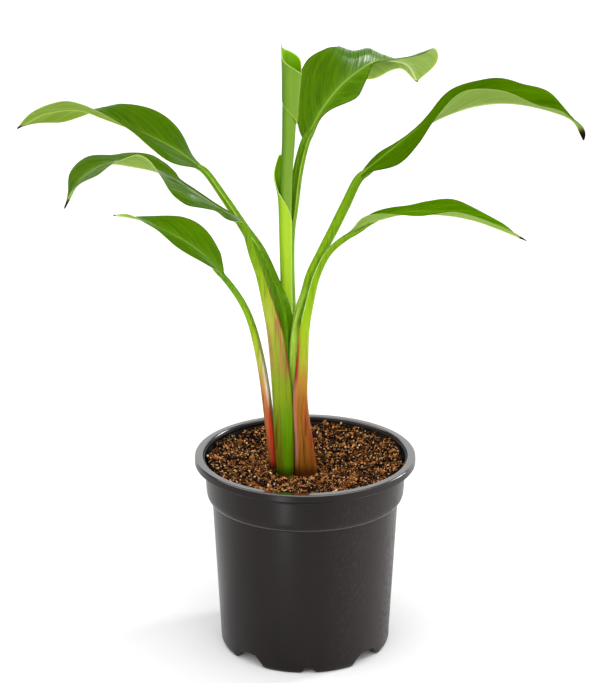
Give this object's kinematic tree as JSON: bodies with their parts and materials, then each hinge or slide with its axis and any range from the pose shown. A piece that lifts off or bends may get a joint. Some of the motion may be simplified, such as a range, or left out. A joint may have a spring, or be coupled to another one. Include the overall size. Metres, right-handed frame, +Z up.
{
  "type": "potted banana plant",
  "caption": "Young golden lotus banana in a round black nursery pot of soil: a bundle of leaf stalks, arching blades and a rolled new leaf.",
  "frame": {"origin": "centre of the pot's underside, on the surface the pot stands on", "axes": "+Z up, -Y towards the viewer of the picture, +X to the viewer's right"},
  "size_m": [0.3332, 0.1745, 0.3624],
  "materials": {
    "pot": "satin black moulded plastic",
    "soil": "loose moist peat and coir crumbs",
    "stalk": "smooth fleshy leaf stalk, reddish brown at the foot",
    "blade": "waxy satin leaf with fine veins and a paler underside",
    "rolled_leaf": "waxy young leaf, rolled"
  },
  "bodies": {
    "root": {"pot": "pot", "soil": "soil", "stalk_spear": "stalk", "stalk_top": "stalk", "stalk_upper_left": "stalk", "stalk_upper_right": "stalk", "stalk_middle_left": "stalk", "stalk_lower_right": "stalk", "stalk_lower_left": "stalk", "blade_spear": "rolled_leaf", "blade_top": "blade", "blade_upper_left": "blade", "blade_upper_right": "blade", "blade_middle_left": "blade", "blade_lower_right": "blade", "blade_lower_left": "blade"}
  },
  "joints": []
}
